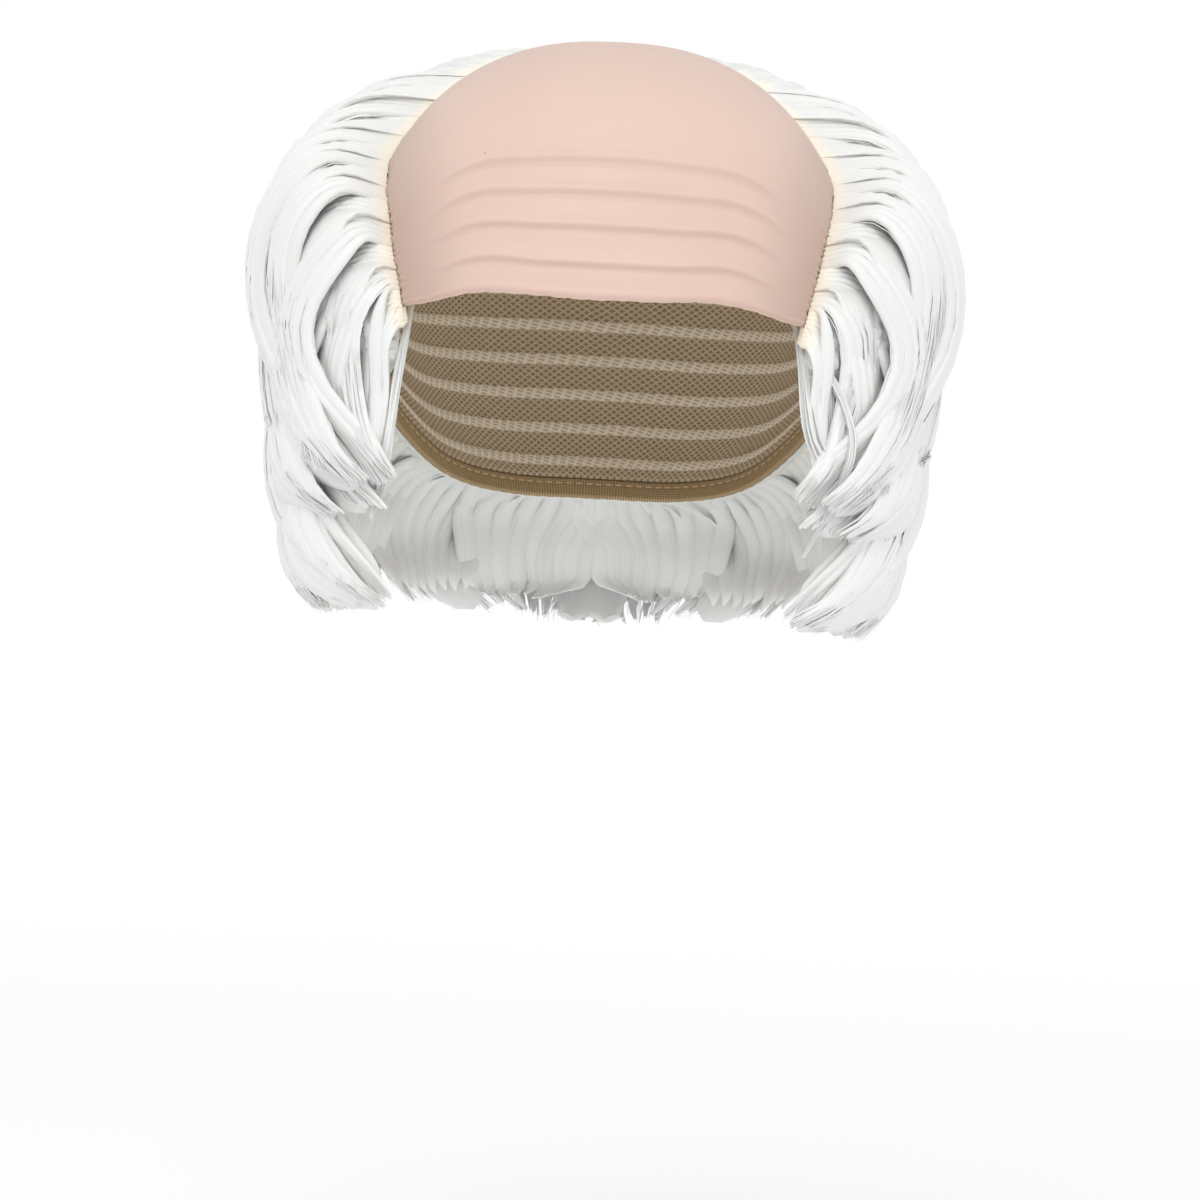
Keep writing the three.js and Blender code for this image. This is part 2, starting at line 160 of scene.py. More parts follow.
def patePlace(across, rowSweep):
    share = np.abs(across)
    low = readTable(browLine, "share", "edge", share)
    high = readTable(browLine, "share", "crease", share)
    wave = mix(low, high, np.clip(rowSweep / creases[0]["sweep"], 0, 1))
    waveFade = 1 - smooth((rowSweep - topCrease) / topCrease)
    backBend = readTable(pateBack, "share", "sweep", share) - backSweepMiddle
    return rowSweep + wave * waveFade + backBend * (rowSweep / backSweepMiddle) ** 3


def pateDirection(across, rowSweep):
    spread = readTable(pateSide, "sweep", "spread", patePlace(1.0, rowSweep))
    return bySweep(patePlace(across, rowSweep), across * spread)


# A sewn line: dense points, with the share of its length at each
def makeLine(points):
    steps = np.linalg.norm(np.diff(points, axis=0), axis=1)
    lengths = np.concatenate([[0], np.cumsum(steps)])
    return {"points": points, "shares": lengths / lengths[-1], "length": lengths[-1]}


def pointAt(line, share):
    return np.stack([np.interp(share, line["shares"], line["points"][:, k]) for k in range(3)], -1)


def tangentAt(line, share):
    return unitOf(pointAt(line, share + 0.004) - pointAt(line, share - 0.004))


# The direction at a share of a line, moved sideways over the cap. Positive is left of the line's way,
# seen from outside.
def besideLine(line, share, distance):
    share = np.clip(share, 0.0041, 0.9959)
    point = pointAt(line, share)
    sideways = unitOf(np.cross(normalAt(point), tangentAt(line, share)))
    return directionOf(point + sideways * np.asarray(distance)[..., None])


def makeBandLine():
    sweeps = np.linspace(0, backSweepMiddle, 140)
    across = np.linspace(1, -1, 160)[1:-1]
    right = onHead(pateDirection(np.ones_like(sweeps), sweeps), 0)
    back = onHead(pateDirection(across, np.full_like(across, backSweepMiddle)), 0)
    left = onHead(pateDirection(-np.ones_like(sweeps), sweeps[::-1]), 0)
    seam = np.concatenate([right, back, left])
    steps = np.linspace(1, 0.1, 10)[:, None] * sewn["bandTail"]
    first = onHead(directionOf(seam[0] + unitOf(seam[0] - seam[3]) * steps), 0)
    last = onHead(directionOf(seam[-1] + unitOf(seam[-1] - seam[-4]) * steps[::-1]), 0)
    return makeLine(np.concatenate([first, seam, last]))


def makeEdgeLine():
    azimuths = np.linspace(capEdge[0]["azimuth"], 180, 200)
    elevations = readTable(capEdge, "azimuth", "elevation", azimuths)
    right = onHead(byAzimuth(azimuths, elevations), 0)
    left = onHead(byAzimuth(-azimuths[-2::-1], elevations[-2::-1]), 0)
    return makeLine(np.concatenate([right, left]))


bandLine = makeBandLine()
edgeLine = makeEdgeLine()
bandOuter = sewn["gap"] + sewn["bandWidth"]


def capDirection(along, down, topDistance, bottomDistance):
    top = besideLine(bandLine, along, topDistance)
    bottom = besideLine(edgeLine, along, bottomDistance)
    angle = np.arccos(np.clip((top * bottom).sum(-1), -1, 1))
    start = np.sin((1 - down) * angle) / np.sin(angle)
    end = np.sin(down * angle) / np.sin(angle)
    return unitOf(top * start[..., None] + bottom * end[..., None])


# Meshes
# A closed sheet: place(across, along, outer) gives the points, for shares from 0 to 1
def closedSheet(name, columns, rows, place, uvSize=(1, 1)):
    bm = bmesh.new()
    bmesh.ops.create_grid(bm, x_segments=columns, y_segments=rows, size=0.5)
    grown = bmesh.ops.extrude_face_region(bm, geom=bm.faces[:])
    raised = [item for item in grown["geom"] if isinstance(item, bmesh.types.BMVert)]
    bmesh.ops.translate(bm, verts=raised, vec=(0, 0, 1))
    shares = np.array([vertex.co for vertex in bm.verts]) + (0.5, 0.5, 0)
    points = place(shares[:, 0], shares[:, 1], shares[:, 2])
    for vertex, point in zip(bm.verts, points):
        vertex.co = point
    bmesh.ops.recalc_face_normals(bm, faces=bm.faces)
    mesh = bpy.data.meshes.new(name)
    bm.to_mesh(mesh)
    bm.free()
    piece = addPiece(name, mesh)
    addUv(mesh, shares[:, :2] * uvSize)
    return piece


def addPiece(name, mesh):
    piece = bpy.data.objects.new(name, mesh)
    bpy.context.scene.collection.objects.link(piece)
    mesh.polygons.foreach_set("use_smooth", np.ones(len(mesh.polygons), bool))
    return piece


def addUv(mesh, perVertex):
    corners = np.empty(len(mesh.loops), int)
    mesh.loops.foreach_get("vertex_index", corners)
    layer = mesh.uv_layers.new(name="place")
    layer.data.foreach_set("uv", perVertex[corners].astype(np.float32).ravel())


def addAttribute(mesh, name, values):
    layer = mesh.attributes.new(name, "FLOAT", "POINT")
    layer.data.foreach_set("value", np.asarray(values, np.float32).ravel())


# Sections across a hair or lock, as places from -1 to 1 across it and out of it
def roundSection(sides):
    turn = np.linspace(-np.pi / 2, 1.5 * np.pi, sides, endpoint=False)
    return np.stack([np.cos(turn), np.sin(turn)], -1)


hairSection = np.array([(1, 0), (0, 1), (-1, 0)], float)
coreSection = roundSection(18)
strandSection = roundSection(10)
hairMap = {"sidesPerTurn": 3, "toneShift": 7, "sharpFrom": 70}  # round and along, shifted by its tone


# The level direction round the cap at each place
def levelAt(paths):
    azimuth = np.arctan2(paths[..., 0], -paths[..., 1])
    return np.stack([np.cos(azimuth), np.sin(azimuth), np.zeros_like(azimuth)], -1)


# Many closed hairs or locks in one mesh. paths and sheet are hairs x steps x 3, and the section's wide side
# lies along sheet. wide and thick are half sizes at each step.
def hairMesh(name, section, paths, sheet, wide, thick, tone):
    count, steps, _ = paths.shape
    sides = len(section)
    tangent = unitOf(np.gradient(paths, axis=1))
    across = unitOf(sheet - tangent * (sheet * tangent).sum(-1, keepdims=True))
    away = np.cross(tangent, across)
    points = (across * wide)[:, :, None] * section[:, :1] + (away * thick)[:, :, None] * section[:, 1:]
    points += paths[:, :, None]
    tube = np.arange(count)[:, None, None] * steps * sides
    step = np.arange(steps - 1)[None, :, None] * sides
    side = np.arange(sides)[None, None, :]
    after = (side + 1) % sides
    ring, nextRing = tube + step, tube + step + sides
    quads = np.stack([ring + side, ring + after, nextRing + after, nextRing + side], -1).reshape(-1, 4)
    lastCaps = np.arange(count)[:, None] * steps * sides + (steps - 1) * sides + np.arange(sides)
    firstCaps = (lastCaps - (steps - 1) * sides)[:, ::-1]
    order = np.concatenate([quads.ravel(), firstCaps.ravel(), lastCaps.ravel()])
    sizes = np.concatenate([np.full(len(quads), 4), np.full(2 * count, sides)])
    mesh = bpy.data.meshes.new(name)
    mesh.vertices.add(count * steps * sides)
    mesh.vertices.foreach_set("co", points.astype(np.float32).ravel())
    mesh.loops.add(len(order))
    mesh.loops.foreach_set("vertex_index", order.astype(np.int32))
    mesh.polygons.add(len(sizes))
    mesh.polygons.foreach_set("loop_start", (np.cumsum(sizes) - sizes).astype(np.int32))
    mesh.update(calc_edges=True)
    piece = addPiece(name, mesh)
    mesh.set_sharp_from_angle(angle=math.radians(hairMap["sharpFrom"]))
    stepLengths = np.linalg.norm(np.diff(paths, axis=1), axis=-1)
    along = np.concatenate([np.zeros((count, 1)), np.cumsum(stepLengths, 1)], 1)[..., None] / mm
    turns = side / hairMap["sidesPerTurn"] + tone[:, None, None] * hairMap["toneShift"]
    addUv(mesh, np.stack(np.broadcast_arrays(turns, along), -1).reshape(-1, 2))
    addAttribute(mesh, "tone", np.repeat(tone, steps * sides))
    return piece


def dress(piece, slot, material, *nodes):
    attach(piece, "root")
    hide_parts(*nodes)
    piece.data.materials.append(material)


# Node helpers
def newMaterial(name, values):
    material = bpy.data.materials.new(name)
    material.use_nodes = True
    shader = material.node_tree.nodes["Principled BSDF"]
    for key, value in values.items():
        shader.inputs[key].default_value = value
    return material, material.node_tree, shader


# Each input is either the socket that feeds it or its own value
def addNode(tree, kind, inputs=None, **settings):
    node = tree.nodes.new(kind)
    for key, value in settings.items():
        setattr(node, key, value)
    for key, value in (inputs or {}).items():
        if isinstance(value, bpy.types.NodeSocket):
            tree.links.new(value, node.inputs[key])
        else:
            node.inputs[key].default_value = value
    return node


def mathOf(tree, operation, a, b=0.5):
    return addNode(tree, "ShaderNodeMath", {0: a, 1: b}, operation=operation).outputs[0]


def ramp(tree, value, low, high, fromValue=0.0, toValue=1.0):
    inputs = {"Value": value, "From Min": low, "From Max": high, "To Min": fromValue, "To Max": toValue}
    return addNode(tree, "ShaderNodeMapRange", inputs, interpolation_type="SMOOTHSTEP").outputs["Result"]


def blend(tree, share, a, b, mode="MIX"):
    inputs = {0: share, 6: a, 7: b}
    return addNode(tree, "ShaderNodeMix", inputs, data_type="RGBA", blend_type=mode).outputs[2]


def noise(tree, place, scale, detail):
    inputs = {"Vector": place, "Scale": scale, "Detail": detail}
    return addNode(tree, "ShaderNodeTexNoise", inputs).outputs["Fac"]


def readPlace(tree):
    uv = addNode(tree, "ShaderNodeUVMap", uv_map="place").outputs[0]
    return uv, addNode(tree, "ShaderNodeSeparateXYZ", {0: uv}).outputs


# Each input is a kind of socket, or the number that a Float socket starts with
def newGroup(name, inputs, outputs):
    group = bpy.data.node_groups.new(name, "ShaderNodeTree")
    for socket, start in inputs.items():
        kind = start if isinstance(start, str) else "Float"
        made = group.interface.new_socket(socket, in_out="INPUT", socket_type="NodeSocket" + kind)
        if kind == "Float":
            made.default_value = start
    for socket, kind in outputs.items():
        group.interface.new_socket(socket, in_out="OUTPUT", socket_type="NodeSocket" + kind)
    return group, group.nodes.new("NodeGroupInput").outputs, group.nodes.new("NodeGroupOutput").inputs


def useGroup(tree, group, **inputs):
    return addNode(tree, "ShaderNodeGroup", inputs, node_tree=group).outputs


# Uneven cloud of lighter and darker patches over a colour, and a fine grain for bump
def makeMottleGroup():
    inputs = {"Place": "Vector", "Colour": "Color", "Other": "Color", "Patches": 30.0, "Grain": 900.0}
    inputs["Amount"] = 0.5
    group, given, result = newGroup("mottle", inputs, {"Colour": "Color", "Height": "Float"})
    large = noise(group, given["Place"], given["Patches"], 3.0)
    fine = noise(group, given["Place"], given["Grain"], 2.0)
    share = mathOf(group, "MULTIPLY", ramp(group, large, 0.35, 0.7), given["Amount"])
    group.links.new(blend(group, share, given["Colour"], given["Other"]), result["Colour"])
    group.links.new(fine, result["Height"])
    return group


# Threads that cross: two sets of ridges across a place measured in millimetres
def makeWeaveGroup():
    inputs = {"Place": "Vector", "Across": 1.0, "Along": 1.0, "Turn": 0.0}
    group, given, result = newGroup("weave", inputs, {"Threads": "Float", "Holes": "Float"})
    inputs = {"Vector": given["Place"], "Angle": given["Turn"]}
    turned = addNode(group, "ShaderNodeVectorRotate", inputs, rotation_type="Z_AXIS")
    parts = addNode(group, "ShaderNodeSeparateXYZ", {0: turned.outputs[0]}).outputs
    ridges = []
    for axis, size in (("X", "Across"), ("Y", "Along")):
        turns = mathOf(group, "DIVIDE", parts[axis], given[size])
        wave = mathOf(group, "SINE", mathOf(group, "MULTIPLY", turns, 2 * math.pi))
        ridges.append(ramp(group, wave, -0.2, 0.9))
    threads = mathOf(group, "MAXIMUM", ridges[0], ridges[1])
    group.links.new(threads, result["Threads"])
    group.links.new(mathOf(group, "SUBTRACT", 1.0, threads), result["Holes"])
    return group


# Long fine lines that run along a lock, from a place of (round, along in millimetres)
def makeFibreGroup():
    inputs = {"Place": "Vector", "Lines": 40.0, "Stretch": 0.02}
    group, given, result = newGroup("fibres", inputs, {"Lines": "Float", "Bands": "Float"})
    scale = addNode(group, "ShaderNodeCombineXYZ", {"X": given["Lines"], "Y": given["Stretch"], "Z": 1.0})
    inputs = {0: given["Place"], 1: scale.outputs[0]}
    place = addNode(group, "ShaderNodeVectorMath", inputs, operation="MULTIPLY").outputs[0]
    group.links.new(noise(group, place, 1.0, 3.0), result["Lines"])
    group.links.new(ramp(group, noise(group, place, 0.22, 1.0), 0.35, 0.65), result["Bands"])
    return group


mottleGroup = makeMottleGroup()
weaveGroup = makeWeaveGroup()
fibreGroup = makeFibreGroup()


def paint(tree, shader, colour, height, strength, distance):
    tree.links.new(colour, shader.inputs["Base Color"])
    inputs = {"Height": height, "Strength": strength, "Distance": distance}
    tree.links.new(addNode(tree, "ShaderNodeBump", inputs).outputs[0], shader.inputs["Normal"])


# Pate
pate = {
    "wall": 1.8 * mm,
    "columns": 120,
    "creaseRows": 92,
    "creaseMargin": 6,  # degrees past the top crease that have the crease rows
    "domeRows": 38,
    "creaseHeight": 1.25 * mm,
    "creaseBelow": 0.95,  # mm from the crest down to where a crease ends, and up
    "creaseAbove": 2.3,
    "creaseFade": 0.62,  # share of its length past which a crease sinks into the skin
    "groove": {"depth": 0.42, "below": 2.1, "width": 0.9},
    "hemHeight": 2.6 * mm,
    "hemRise": 0.35 * mm,
    "hemStep": 0.8 * mm,
    "pucker": 0.28 * mm,
    "puckerFrom": 0.93,
    "swell": 0.25 * mm,
    "nick": 0.16,  # degrees by which the cut lower edge wanders
    "edgeTaper": 1.6,
    "dimple": {"across": 0.0, "sweep": 50.0, "depth": 0.7 * mm, "size": 8, "halfSpan": 70},
    "specks": 42.0,
    "pink": (0.655, 0.487, 0.415, 1),
    "rose": (0.62, 0.435, 0.375, 1),
    "rim": (0.72, 0.54, 0.4, 1),
    # painted shade multiplied into the skin towards the side seams and over the crown
    "paintedSideShade": (0.8, 0.795, 0.79, 1),
    # colour of the real specks, and of the painted shadow line along the side edges
    "speckAndSeamShadow": (0.33, 0.23, 0.19, 1),
    "roughness": 0.46,
}


def creaseRelief(across, rowSweep):
    relief = np.zeros_like(rowSweep)
    groove = pate["groove"]
    for crease in creases:
        off = (rowSweep - crease["sweep"]) * mmPerDegree
        fade = 1 - smooth((np.abs(across) / crease["end"] - pate["creaseFade"]) / (1 - pate["creaseFade"]))
        width = np.where(off > 0, pate["creaseAbove"], pate["creaseBelow"])
        sunk = groove["depth"] * np.exp(-(((off + groove["below"]) / groove["width"]) ** 2))
        relief += fade * (np.exp(-((off / width) ** 2)) - sunk)
    return relief * pate["creaseHeight"]


def pateRelief(across, rowSweep):
    upEdge = rowSweep * mmPerDegree * mm
    relief = creaseRelief(across, rowSweep)
    relief += pate["hemRise"] * (1 - smooth((upEdge - pate["hemHeight"]) / pate["hemStep"]))
    seam = smooth((np.abs(across) - pate["puckerFrom"]) / (1 - pate["puckerFrom"]))
    relief += pate["pucker"] * seam * np.sin(rowSweep * 2.3 + 1.4 * np.sin(rowSweep * 0.7))
    rear = smooth((rowSweep - 0.95 * backSweepMiddle) / (0.05 * backSweepMiddle))
    relief += pate["pucker"] * rear * np.sin(across * 70 + 1.5 * np.sin(across * 17))
    dimple = pate["dimple"]
    beside = (across - dimple["across"]) * dimple["halfSpan"]
    span = np.hypot(beside, (rowSweep - dimple["sweep"]) * mmPerDegree)
    relief -= dimple["depth"] * np.exp(-((span / dimple["size"]) ** 2))
    relief += pate["swell"] * np.sin(across * 5.1 + rowSweep * 0.11) * np.sin(rowSweep * 0.13 + across * 2)
    return relief


def makePate():
    crossover = topCrease + pate["creaseMargin"]
    share = pate["creaseRows"] / (pate["creaseRows"] + pate["domeRows"])

    def place(across, along, outer):
        low = crossover * along / share
        high = crossover + (backSweepMiddle - crossover) * (along - share) / (1 - share)
        rowSweep = np.where(along < share, low, high)
        side = across * 2 - 1
        nick = pate["nick"] * np.sin(side * 41) * np.sin(side * 23 + 1) * (1 - smooth(rowSweep / 2.5))
        taper = mix(0.35, 1, smooth(rowSweep * mmPerDegree / pate["edgeTaper"]))
        lift = outer * (pate["wall"] * taper + pateRelief(side, rowSweep))
        return onHead(pateDirection(side, rowSweep + nick), lift)

    piece = closedSheet("pate_skin", pate["columns"], pate["creaseRows"] + pate["domeRows"], place)
    dress(piece, "latex", latexMaterial(share, crossover), "bald_pate")
    print("pate done")


def latexMaterial(share, crossover):
    gloss = {"Subsurface Weight": 0.12, "Subsurface Scale": 3 * mm, "Specular IOR Level": 0.35}
    material, tree, shader = newMaterial("latex", gloss)
    place = addNode(tree, "ShaderNodeTexCoord").outputs["Object"]
    across, along, _ = readPlace(tree)[1]
    look = {"Colour": pate["pink"], "Other": pate["rose"], "Patches": 26.0, "Grain": 1500.0, "Amount": 0.3}
    skin = useGroup(tree, mottleGroup, Place=place, **look)
    fromMiddle = mathOf(tree, "ABSOLUTE", mathOf(tree, "SUBTRACT", across, 0.5))
    # painted shadow: a thin brown line along the pate's side edges
    seamShadow = ramp(tree, fromMiddle, 0.4955, 0.499, 0.0, 0.75)
    hemShare = pate["hemHeight"] / mm / mmPerDegree / crossover * share
    hem = ramp(tree, along, hemShare * 0.8, hemShare * 1.25, 0.35, 0.0)
    rim = ramp(tree, along, 0.0, hemShare * 0.22, 0.8, 0.0)
    # painted shade: the skin grows greyer and dimmer towards the side seams and over the crown
    crown = ramp(tree, along, share, 0.9, 0.0, 0.6)
    sides = mathOf(tree, "MAXIMUM", ramp(tree, fromMiddle, 0.26, 0.47), crown)
    speckle = {"Vector": place, "Scale": pate["specks"], "Randomness": 1.0}
    fromSpeck = addNode(tree, "ShaderNodeTexVoronoi", speckle).outputs["Distance"]
    colour = blend(tree, sides, skin["Colour"], pate["paintedSideShade"], "MULTIPLY")
    colour = blend(tree, hem, colour, pate["rose"])
    colour = blend(tree, rim, colour, pate["rim"])
    # real specks in the skin
    colour = blend(tree, ramp(tree, fromSpeck, 0.012, 0.03, 0.55, 0.0), colour, pate["speckAndSeamShadow"])
    colour = blend(tree, seamShadow, colour, pate["speckAndSeamShadow"])
    roughness = ramp(tree, skin["Height"], 0.3, 0.7, pate["roughness"] - 0.05, pate["roughness"] + 0.07)
    tree.links.new(roughness, shader.inputs["Roughness"])
    paint(tree, shader, colour, skin["Height"], 0.12, 0.4 * mm)
    return material


# Seam band
band = {
    "wall": 1.6 * mm,
    "columns": 1000,
    "rows": 6,
    "bulge": 0.4 * mm,
    "ruffle": 0.35 * mm,
    "ruffles": 260,
    "thinEdge": 0.18,
    "weave": {"Across": 0.55, "Along": 0.5, "Turn": 0.0},
    "stitch": {"Across": 1.5, "Along": 2.6, "Turn": 0.5},
    "cream": (0.9, 0.8, 0.6, 1),
    # painted shade colour for the holes of the weave
    "shade": (0.62, 0.5, 0.33, 1),
    "thread": (0.95, 0.9, 0.78, 1),
}


def makeBand():
    length = bandLine["length"] / mm
    width = sewn["bandWidth"] / mm

    def place(along, across, outer):
        direction = besideLine(bandLine, along, -sewn["gap"] * 0.3 - across * sewn["bandWidth"])
        bulge = np.sin(np.pi * np.clip(across, 0, 1)) * band["bulge"]
        gather = np.sin(along * band["ruffles"] * 2 * np.pi + 2 * np.sin(along * 61)) * band["ruffle"]
        rim = 1 - 0.5 * smooth(1 - across / band["thinEdge"])
        return onHead(direction, outer * (band["wall"] * rim + bulge + gather * smooth(across * 5)))

    piece = closedSheet("seam_tape", band["columns"], band["rows"], place, (length, width))
    material, tree, shader = newMaterial("seam_tape", {"Roughness": 0.85})
    uv, _ = readPlace(tree)
    weave = useGroup(tree, weaveGroup, Place=uv, **band["weave"])
    stitch = useGroup(tree, weaveGroup, Place=uv, **band["stitch"])
    # painted shade in the holes of the weave
    colour = blend(tree, weave["Holes"], band["cream"], band["shade"])
    colour = blend(tree, mathOf(tree, "MULTIPLY", stitch["Threads"], 0.35), colour, band["thread"])
    paint(tree, shader, colour, stitch["Threads"], 0.5, 0.3 * mm)
    dress(piece, "seam_tape", material, "seam_band")
    print("seam band done")


# Net cap with sewn weft rows inside
net = {
    "wall": 1.6 * mm,
    "columns": 160,
    "rows": 91,
    "height": 150,  # mm that its UV map counts from the band to the hem
    "wefts": 13,
    "weftRise": 0.7 * mm,
    "weftWidth": 0.13,
    "mesh": {"Across": 1.5, "Along": 1.5, "Turn": 0.785},
    "stitch": {"Across": 2.4, "Along": 1.2, "Turn": 0.3},
    "tan": (0.62, 0.5, 0.34, 1),
    # painted shade colour for the holes of the net
    "gapShade": (0.33, 0.25, 0.16, 1),
    "weft": (0.85, 0.8, 0.68, 1),
}


def makeNet():
    length = edgeLine["length"] / mm

    def place(along, down, outer):
        direction = capDirection(along, down, -bandOuter - sewn["gap"], sewn["hemWidth"] + sewn["gap"])
        phase = (down * net["wefts"]) % 1
        row = np.exp(-(((phase - 0.5) / net["weftWidth"]) ** 2))
        knots = 0.8 + 0.2 * np.sin(along * length * 2.2)
        return onHead(direction, net["wall"] * outer - (1 - outer) * row * knots * net["weftRise"])

    piece = closedSheet("cap_mesh", net["columns"], net["rows"], place, (length, net["height"]))
    material, tree, shader = newMaterial("net", {"Roughness": 0.85})
    uv, (_, down, _) = readPlace(tree)
    mesh = useGroup(tree, weaveGroup, Place=uv, **net["mesh"])
    stitch = useGroup(tree, weaveGroup, Place=uv, **net["stitch"])
    turns = mathOf(tree, "FRACT", mathOf(tree, "MULTIPLY", down, net["wefts"] / net["height"]))
    fromRow = mathOf(tree, "ABSOLUTE", mathOf(tree, "SUBTRACT", turns, 0.5))
    row = ramp(tree, fromRow, 0.12, 0.19, 1.0, 0.0)
    # painted shade in the holes of the net
    meshColour = blend(tree, mesh["Threads"], net["gapShade"], net["tan"])
    rowColour = blend(tree, stitch["Threads"], net["tan"], net["weft"])
    height = mathOf(tree, "MAXIMUM", mesh["Threads"], row)
    paint(tree, shader, blend(tree, row, meshColour, rowColour), height, 0.7, 0.4 * mm)
    dress(piece, "net", material, "cap_net")
    print("net done")


# Hem binding
hem = {
    "wall": 2 * mm,
    "columns": 500,
    "rows": 10,
    "roll": 0.5 * mm,
    "groove": 0.3 * mm,
    "ripple": 0.12 * mm,
    "stitchAt": 0.72,  # share of the hem's width
    "stitchLength": 3.2,
    "weave": {"Across": 0.9, "Along": 0.7, "Turn": 0.0},
    "tan": (0.52, 0.39, 0.21, 1),
    "light": (0.75, 0.6, 0.38, 1),
    # painted shade colour for the gaps between the threads
    "gapShade": (0.27, 0.18, 0.09, 1),
}


def makeHem():
    length = edgeLine["length"] / mm
    width = sewn["hemWidth"] / mm

    def place(along, up, outer):
        direction = besideLine(edgeLine, along, up * sewn["hemWidth"])
        roll = np.sin(np.pi * up) * hem["roll"]
        groove = hem["groove"] * np.exp(-(((up - hem["stitchAt"]) / 0.06) ** 2))
        ripple = hem["ripple"] * np.sin(along * length * 1.6) * (1 - up)
        thick = hem["wall"] - hem["roll"] + roll - groove + ripple
        return onHead(direction, outer * thick + (1 - outer) * (groove - roll * 0.4))

    piece = closedSheet("hem_tape", hem["columns"], hem["rows"], place, (length, width))
    material, tree, shader = newMaterial("hem_tape", {"Roughness": 0.8})
    uv, (along, up, _) = readPlace(tree)
    weave = useGroup(tree, weaveGroup, Place=uv, **hem["weave"])
    turns = mathOf(tree, "MULTIPLY", along, 2 * math.pi / hem["stitchLength"])
    dash = ramp(tree, mathOf(tree, "SINE", turns), -0.5, 0.1)
    fromStitch = mathOf(tree, "ABSOLUTE", mathOf(tree, "SUBTRACT", up, width * hem["stitchAt"]))
    stitch = mathOf(tree, "MULTIPLY", ramp(tree, fromStitch, 0.2, 0.4, 1.0, 0.0), dash)
    # painted shade in the gaps between the weave's threads
    colour = blend(tree, weave["Threads"], hem["gapShade"], hem["tan"])
    colour = blend(tree, stitch, colour, hem["light"])
    paint(tree, shader, colour, mathOf(tree, "MAXIMUM", weave["Threads"], stitch), 0.6, 0.3 * mm)
    dress(piece, "hem_tape", material, "cap_hem")
    print("hem done")


# Hair
# Locks of one side, from the front to the middle of the back. at is the share along the seam. fall and turn
# say where round the cap a lock hangs, in degrees. reach is how far out it stands. belly and tip are the
# heights of its widest place and its end, in crown heights. curl, sway and width are in millimetres.
upperLocks = [
    dict(at=0.04, fall=50, turn=-4, reach=7, belly=1.25, tip=1.72, curl=4, sway=3, width=13),
    dict(at=0.11, fall=61, turn=-20, reach=14, belly=1.12, tip=1.64, curl=11, sway=3, width=23),
    dict(at=0.21, fall=72, turn=-27, reach=22, belly=1.0, tip=1.66, curl=15, sway=-4, width=28),
    dict(at=0.32, fall=81, turn=-34, reach=28, belly=0.88, tip=1.68, curl=16, sway=5, width=30),
    dict(at=0.43, fall=90, turn=-34, reach=30.5, belly=0.78, tip=1.6, curl=13, sway=-6, width=31),
    dict(at=0.54, fall=101, turn=-30, reach=30.5, belly=0.76, tip=1.6, curl=12, sway=7, width=31),
    dict(at=0.65, fall=114, turn=-20, reach=30, belly=0.8, tip=1.56, curl=11, sway=-8, width=31),
    dict(at=0.74, fall=129, turn=-8, reach=29, belly=0.84, tip=1.6, curl=9, sway=-8, width=32),
    dict(at=0.84, fall=148, turn=6, reach=30, belly=0.86, tip=1.56, curl=9, sway=8, width=33),
    dict(at=0.95, fall=173, turn=-5, reach=30, belly=0.86, tip=1.62, curl=9, sway=-8, width=33),
]
lowerLocks = [
    dict(at=0.2, fall=70, turn=-25, reach=14, belly=1.5, tip=2.08, curl=11, sway=-3, width=24),
    dict(at=0.32, fall=82, turn=-40, reach=20, belly=1.45, tip=2.1, curl=14, sway=4, width=29),
    dict(at=0.44, fall=95, turn=-40, reach=22, belly=1.42, tip=2.1, curl=16, sway=-5, width=30),
    dict(at=0.57, fall=111, turn=-36, reach=22, belly=1.42, tip=2.12, curl=16, sway=6, width=31),
    dict(at=0.72, fall=132, turn=-16, reach=24, belly=1.5, tip=2.12, curl=14, sway=6, width=33),
    dict(at=0.85, fall=152, turn=8, reach=26, belly=1.5, tip=2.08, curl=12, sway=-6, width=34),
    dict(at=0.97, fall=176, turn=0, reach=26, belly=1.5, tip=2.12, curl=12, sway=5, width=34),
]
middleLocks = [
    dict(at=0.15, fall=66, turn=-20, reach=14, belly=1.35, tip=1.72, curl=12, sway=3, width=24),
    dict(at=0.26, fall=76, turn=-30, reach=20, belly=1.25, tip=1.76, curl=13, sway=-4, width=28),
    dict(at=0.38, fall=88, turn=-34, reach=24, belly=1.15, tip=1.78, curl=11, sway=5, width=30),
    dict(at=0.5, fall=101, turn=-30, reach=25, belly=1.12, tip=1.78, curl=10, sway=-6, width=30),
    dict(at=0.62, fall=115, turn=-20, reach=25, belly=1.15, tip=1.78, curl=11, sway=7, width=31),
    dict(at=0.78, fall=138, turn=-6, reach=26, belly=1.2, tip=1.86, curl=11, sway=-8, width=33),
    dict(at=0.92, fall=163, turn=6, reach=27, belly=1.2, tip=1.84, curl=11, sway=7, width=33),
]
napeLocks = [
    dict(at=0.3, fall=84, turn=0, reach=7, belly=1.5, tip=1.8, curl=2, sway=2, width=24),
    dict(at=0.5, fall=104, turn=2, reach=8, belly=1.6, tip=1.9, curl=3, sway=-2, width=26),
    dict(at=0.65, fall=124, turn=-2, reach=9, belly=1.72, tip=1.98, curl=4, sway=3, width=28),
    dict(at=0.8, fall=144, turn=3, reach=9, belly=1.78, tip=2.04, curl=4, sway=-3, width=30),
    dict(at=0.95, fall=170, turn=-2, reach=9, belly=1.8, tip=2.04, curl=4, sway=3, width=34),
]
